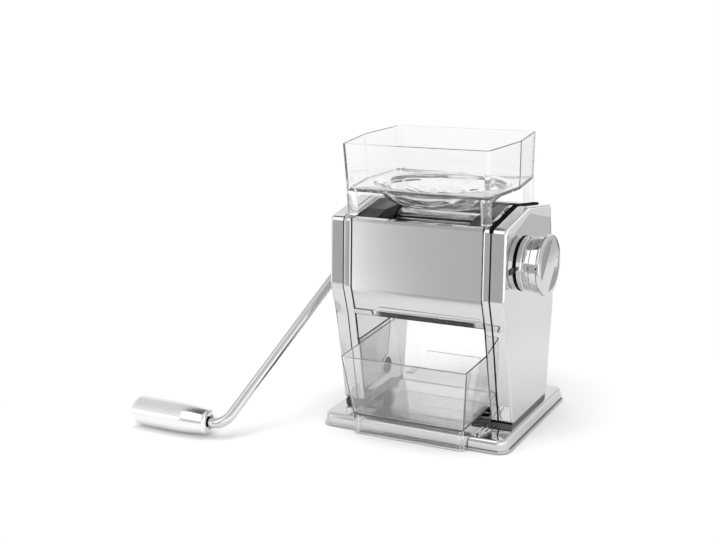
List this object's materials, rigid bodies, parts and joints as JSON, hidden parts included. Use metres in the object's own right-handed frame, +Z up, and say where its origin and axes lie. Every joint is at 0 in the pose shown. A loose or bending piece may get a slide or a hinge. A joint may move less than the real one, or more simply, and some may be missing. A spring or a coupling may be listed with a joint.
{
  "type": "hand-cranked grain mill",
  "caption": "Household roller mill: a clear hopper feeds fluted rollers between chromed sides, a side knob sets the gap, a bent crank turns them and a clear tray catches the flour.",
  "frame": {"origin": "centre of the base plate, on the plane that the mill stands on", "axes": "+Z up, -Y the side of the flour tray and the front panel, +X the side of the regulator knob, -X the side of the crank"},
  "size_m": [0.3432, 0.2208, 0.247],
  "materials": {
    "chrome": "mirror polished",
    "brushed": "brushed, with a clear polished border",
    "steel": "plain turned or zinc plated",
    "hard_steel": "ground and hardened",
    "black_plastic": "matt black",
    "rubber": "matt black",
    "bush_plastic": "natural acetal",
    "gear_plastic": "natural nylon",
    "grip_plastic": "satin light grey",
    "clear": "clear moulded"
  },
  "bodies": {
    "frame": {"base_plate": "chrome", "rubber_feet": "rubber", "left_plinth": "black_plastic", "right_plinth": "black_plastic", "left_inner_side": "chrome", "right_inner_side": "chrome", "left_side_gasket": "black_plastic", "right_side_gasket": "black_plastic", "left_side_cover": "chrome", "right_side_cover": "chrome", "left_bearing_plate": "steel", "right_bearing_plate": "steel", "front_panel": "brushed", "rear_panel": "chrome", "chute_lip": "steel", "tie_rods": "steel", "rod_screws": "steel", "cover_studs": "steel", "base_screws": "steel", "base_nuts": "steel", "eyelet": "chrome", "index_mark": "black_plastic", "drive_bushes": "bush_plastic", "feed_bushes": "bush_plastic", "crank_bush": "black_plastic", "idler_stud": "steel", "front_scraper": "steel", "rear_scraper": "steel", "left_grain_guide": "black_plastic", "right_grain_guide": "black_plastic", "regulator_bush": "bush_plastic", "index_ring": "steel", "knob_gasket": "black_plastic", "left_tray_runner": "black_plastic", "right_tray_runner": "black_plastic"},
    "drive_train": {"drive_roller": "hard_steel", "drive_gear": "gear_plastic"},
    "crank": {"crank_arm": "chrome", "grip_retainer": "steel"},
    "grip": {"crank_grip": "grip_plastic", "grip_cap": "grip_plastic"},
    "feed_train": {"feed_roller": "hard_steel", "feed_gear": "gear_plastic"},
    "idler": {"idler_gear": "gear_plastic"},
    "cradle": {"adjuster_yoke": "steel", "left_bearing_block": "bush_plastic", "right_bearing_block": "bush_plastic"},
    "adjustable_train": {"adjustable_roller": "hard_steel", "adjustable_gear": "gear_plastic"},
    "regulator": {"regulator_shaft": "steel", "regulator_cam": "steel", "shaft_end_screw": "steel", "knob_spring": "steel"},
    "knob": {"regulator_knob": "chrome", "knob_rim": "chrome", "knob_pin": "steel", "grub_screw": "steel"},
    "hopper_body": {"hopper": "clear"},
    "tray_body": {"tray": "clear"}
  },
  "joints": [
    {"name": "crank_turn", "type": "hinge", "parent": "frame", "child": "drive_train", "pos_m": [0, 0.0125, 0.1385], "axis": [1, 0, 0], "continuous": true},
    {"name": "crank_pull", "type": "slide", "parent": "drive_train", "child": "crank", "axis": [-1, 0, 0], "range_m": [0, 0.022]},
    {"name": "grip_spin", "type": "hinge", "parent": "crank", "child": "grip", "pos_m": [-0.2, -0.13497, 0.014], "axis": [1, 0, 0], "continuous": true},
    {"name": "feed_turn", "type": "hinge", "parent": "frame", "child": "feed_train", "pos_m": [0, 0.00409, 0.16955], "axis": [1, 0, 0], "continuous": true},
    {"name": "idler_turn", "type": "hinge", "parent": "frame", "child": "idler", "pos_m": [-0.076, 0.02818, 0.15941], "axis": [1, 0, 0], "continuous": true},
    {"name": "gap_slide", "type": "slide", "parent": "frame", "child": "cradle", "axis": [0, -1, 0], "range_m": [0, 0.0011]},
    {"name": "adjustable_turn", "type": "hinge", "parent": "cradle", "child": "adjustable_train", "pos_m": [0, -0.014, 0.14799], "axis": [1, 0, 0], "continuous": true},
    {"name": "knob_turn", "type": "hinge", "parent": "frame", "child": "regulator", "pos_m": [0.08, -0.014, 0.14799], "axis": [1, 0, 0], "range_deg": [0, 300]},
    {"name": "knob_pull", "type": "slide", "parent": "regulator", "child": "knob", "axis": [1, 0, 0], "range_m": [0, 0.004], "stiffness_N_per_m": 1500, "springref_m": -0.002, "deforming": ["knob_spring"]},
    {"name": "tray_slide", "type": "slide", "parent": "frame", "child": "tray_body", "axis": [0, -1, 0], "range_m": [0, 0.095]},
    {"name": "hopper_lift", "type": "slide", "parent": "frame", "child": "hopper_body", "axis": [0, 0, 1], "range_m": [0, 0.1]}
  ],
  "couplings": [
    {"joint": "adjustable_turn", "follows": "crank_turn", "ratio": -1},
    {"joint": "idler_turn", "follows": "crank_turn", "ratio": -1.1667},
    {"joint": "feed_turn", "follows": "crank_turn", "ratio": 1},
    {"joint": "gap_slide", "follows": "knob_turn", "m_per_rad": 0.00021}
  ]
}
